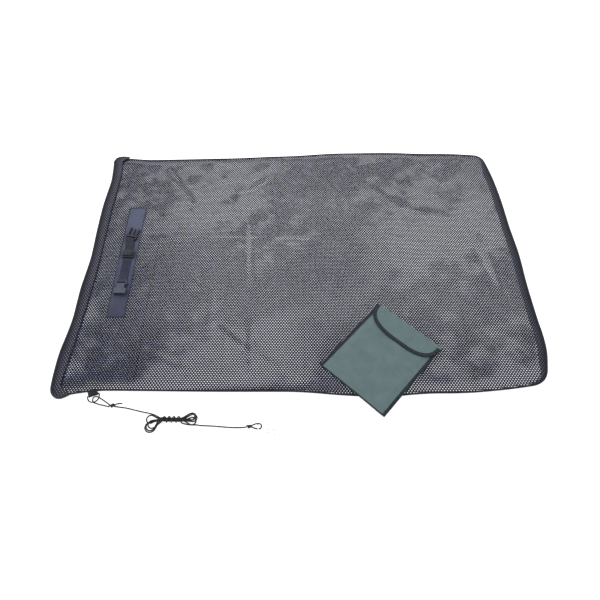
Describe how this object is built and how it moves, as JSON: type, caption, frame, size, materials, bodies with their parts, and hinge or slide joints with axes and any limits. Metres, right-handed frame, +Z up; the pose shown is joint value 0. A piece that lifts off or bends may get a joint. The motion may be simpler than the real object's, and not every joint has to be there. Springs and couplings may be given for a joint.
{
  "type": "carp sack",
  "caption": "Flat mesh fish sack with an open hemmed mouth, roll strap with side-release buckle, ring, cord with snap clip, and a flap pouch.",
  "frame": {"origin": "middle of the sack's underside, on the surface that it lies on", "axes": "+X from the mouth to the foot along the length, +Y across the width away from the cord, +Z up"},
  "size_m": [1.2126, 0.9286, 0.0218],
  "materials": {
    "net": "soft knitted mesh, dark blue-grey",
    "hem_tape": "woven tape, near-black navy",
    "patch_cloth": "plain woven cloth, dull navy",
    "webbing": "ribbed webbing, navy",
    "tab_webbing": "ribbed webbing, near black",
    "buckle_plastic": "moulded, satin",
    "cord": "braided cord, black",
    "ring_steel": "dark plated wire",
    "chrome": "bright nickel plate",
    "spring_steel": "drawn wire",
    "pouch_cloth": "coated woven cloth, grey-green",
    "pouch_binding": "binding tape, dark green",
    "closure": "hook and loop tape"
  },
  "bodies": {
    "sack": {"bottom_net_panel": "net", "top_net_panel": "net", "near_seam": "hem_tape", "far_seam": "hem_tape", "foot_seam": "hem_tape", "mouth_hem_top": "hem_tape", "mouth_hem_bottom": "hem_tape", "strap_patch": "patch_cloth", "strap_centre": "webbing", "ring_tab": "tab_webbing", "ring_tie_loop": "cord", "ring_knot": "cord", "cord_lead_in": "cord", "cord_hank": "cord", "cord_lead_out": "cord", "clip_knot": "cord", "clip_tie_loop": "cord", "swivel_eye": "chrome"},
    "upper_strap": {"adjuster_webbing": "webbing"},
    "slider": {"slider": "buckle_plastic"},
    "male_half": {"male_buckle": "buckle_plastic"},
    "left_arm": {"male_arm_left": "buckle_plastic"},
    "right_arm": {"male_arm_right": "buckle_plastic"},
    "lower_strap": {"lower_webbing": "webbing"},
    "female_half": {"female_buckle": "buckle_plastic"},
    "ring": {"d_ring": "ring_steel"},
    "hook": {"clip_hook": "chrome", "gate_pin": "chrome", "gate_spring": "spring_steel"},
    "gate": {"clip_gate": "chrome"},
    "pouch": {"pouch_back": "pouch_cloth", "pouch_front": "pouch_cloth", "pouch_binding_left": "pouch_binding", "pouch_binding_right": "pouch_binding", "pouch_binding_bottom": "pouch_binding", "loop_strip": "closure"},
    "flap": {"pouch_flap": "pouch_cloth", "flap_binding": "pouch_binding", "hook_strip": "closure"}
  },
  "joints": [
    {"name": "upper_strap_fold", "type": "hinge", "parent": "sack", "child": "upper_strap", "pos_m": [-0.489, -0.0168, 0.0126], "axis": [1, 0, 0], "range_deg": [0, 90]},
    {"name": "slider_travel", "type": "slide", "parent": "upper_strap", "child": "slider", "axis": [0, 1, 0], "range_m": [0, 0.01], "deforming": ["adjuster_webbing"]},
    {"name": "male_half_tip", "type": "hinge", "parent": "upper_strap", "child": "male_half", "pos_m": [-0.491, 0.0505, 0.0147], "axis": [0.9781, -0.2079, 0], "range_deg": [0, 45]},
    {"name": "left_arm_squeeze", "type": "hinge", "parent": "male_half", "child": "left_arm", "pos_m": [-0.50014, 0.06522, 0.0147], "axis": [0, 0, -1], "range_deg": [0, 8], "stiffness_Nm_per_rad": 0.9},
    {"name": "right_arm_squeeze", "type": "hinge", "parent": "male_half", "child": "right_arm", "pos_m": [-0.47666, 0.06023, 0.0147], "axis": [0, 0, 1], "range_deg": [0, 8], "stiffness_Nm_per_rad": 0.9},
    {"name": "lower_strap_fold", "type": "hinge", "parent": "sack", "child": "lower_strap", "pos_m": [-0.489, -0.0832, 0.0126], "axis": [-1, 0, 0], "range_deg": [0, 90]},
    {"name": "female_half_tip", "type": "hinge", "parent": "lower_strap", "child": "female_half", "pos_m": [-0.489, -0.0985, 0.0147], "axis": [-1, 0, 0], "range_deg": [0, 45]},
    {"name": "ring_swing", "type": "hinge", "parent": "sack", "child": "ring", "pos_m": [-0.50375, -0.41496, 0.0034], "axis": [-0.9397, -0.342, 0], "range_deg": [0, 110], "deforming": ["ring_tie_loop"]},
    {"name": "clip_swivel", "type": "hinge", "parent": "sack", "child": "hook", "pos_m": [-0.1, -0.4925, 0.0051], "axis": [0.8829, -0.4695, 0], "continuous": true},
    {"name": "gate_opening", "type": "hinge", "parent": "hook", "child": "gate", "pos_m": [-0.08262, -0.50604, 0.0051], "axis": [0, 0, 1], "range_deg": [0, 20], "stiffness_Nm_per_rad": 0.06, "deforming": ["gate_spring"]},
    {"name": "pouch_lift", "type": "slide", "parent": "sack", "child": "pouch", "axis": [0, 0, 1], "range_m": [0, 0.3]},
    {"name": "flap_turn", "type": "hinge", "parent": "pouch", "child": "flap", "pos_m": [0.26578, -0.23206, 0.0166], "axis": [-0.7431, 0.6691, 0], "range_deg": [0, 170]}
  ]
}
